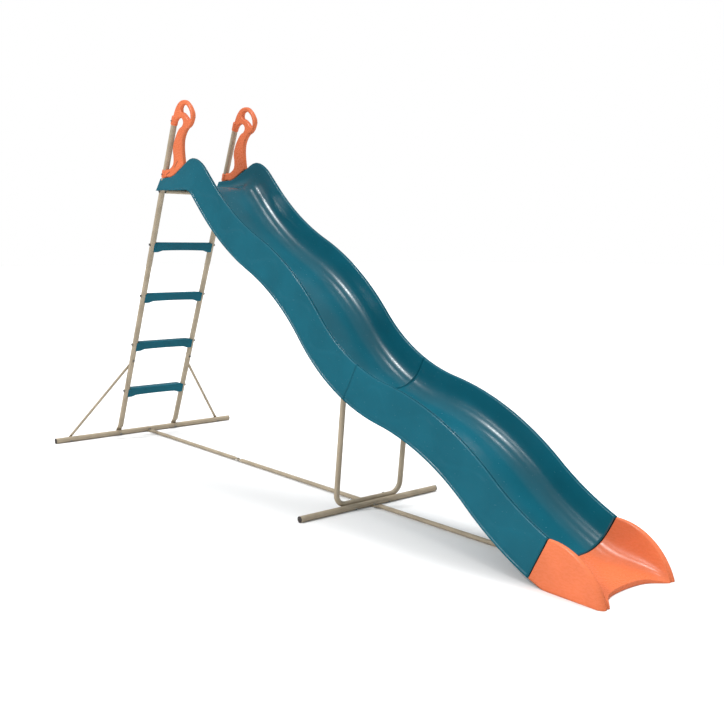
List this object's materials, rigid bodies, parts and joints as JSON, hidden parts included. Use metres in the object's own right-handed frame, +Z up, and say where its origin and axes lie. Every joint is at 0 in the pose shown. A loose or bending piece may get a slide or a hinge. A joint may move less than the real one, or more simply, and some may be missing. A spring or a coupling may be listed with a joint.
{
  "type": "wave slide",
  "caption": "Free-standing garden slide with a wavy channel, moulded ladder steps, loop handles, a rounded exit section and a bent support hoop on ground bars.",
  "frame": {"origin": "on the ground, below the middle of the slide's length and width", "axes": "+X from the ladder towards the exit, +Y to the left of somebody climbing the ladder, +Z up"},
  "size_m": [3.6986, 1.219, 1.9619],
  "materials": {
    "chute_plastic": "glossy moulded polyethylene, teal",
    "accent_plastic": "glossy moulded polyethylene, orange",
    "tube_paint": "satin powder coat, warm beige",
    "fastener_steel": "bright zinc plate",
    "plug_plastic": "matte dark plastic"
  },
  "bodies": {
    "root": {"brace_foot_bolts": "fastener_steel", "brace_foot_nuts": "fastener_steel", "brace_top_screws": "fastener_steel", "chute_joint_bolts": "fastener_steel", "chute_joint_nuts": "fastener_steel", "deck_crossbar": "tube_paint", "deck_rod": "fastener_steel", "deck_rod_nuts": "fastener_steel", "deck_screws": "fastener_steel", "exit_anchor_screw": "fastener_steel", "exit_joint_bolts": "fastener_steel", "exit_joint_nuts": "fastener_steel", "exit_section": "accent_plastic", "handle_left": "accent_plastic", "handle_right": "accent_plastic", "handle_screws": "fastener_steel", "hoop_foot_bolts": "fastener_steel", "hoop_foot_nuts": "fastener_steel", "hoop_leg_screws": "fastener_steel", "ladder_brace_left": "tube_paint", "ladder_brace_right": "tube_paint", "ladder_foot_bar": "tube_paint", "ladder_foot_bar_plugs": "plug_plastic", "ladder_rail_lower_left": "tube_paint", "ladder_rail_lower_right": "tube_paint", "ladder_rail_upper_left": "tube_paint", "ladder_rail_upper_right": "tube_paint", "ladder_tie_bolt": "fastener_steel", "ladder_tie_nut": "fastener_steel", "lower_chute": "chute_plastic", "rail_foot_bolts": "fastener_steel", "rail_foot_nuts": "fastener_steel", "rail_joint_bolts": "fastener_steel", "rail_joint_nuts": "fastener_steel", "step_1": "chute_plastic", "step_2": "chute_plastic", "step_3": "chute_plastic", "step_4": "chute_plastic", "step_rod_nuts": "fastener_steel", "step_rods": "fastener_steel", "step_rung_1": "tube_paint", "step_rung_2": "tube_paint", "step_rung_3": "tube_paint", "step_rung_4": "tube_paint", "support_foot_bar": "tube_paint", "support_foot_bar_plugs": "plug_plastic", "support_hoop": "tube_paint", "support_tie_bolt": "fastener_steel", "support_tie_nut": "fastener_steel", "tie_bar_front": "tube_paint", "tie_bar_middle": "tube_paint", "tie_bar_rear": "tube_paint", "tie_joint_bolt": "fastener_steel", "tie_joint_nut": "fastener_steel", "upper_chute": "chute_plastic"}
  },
  "joints": []
}
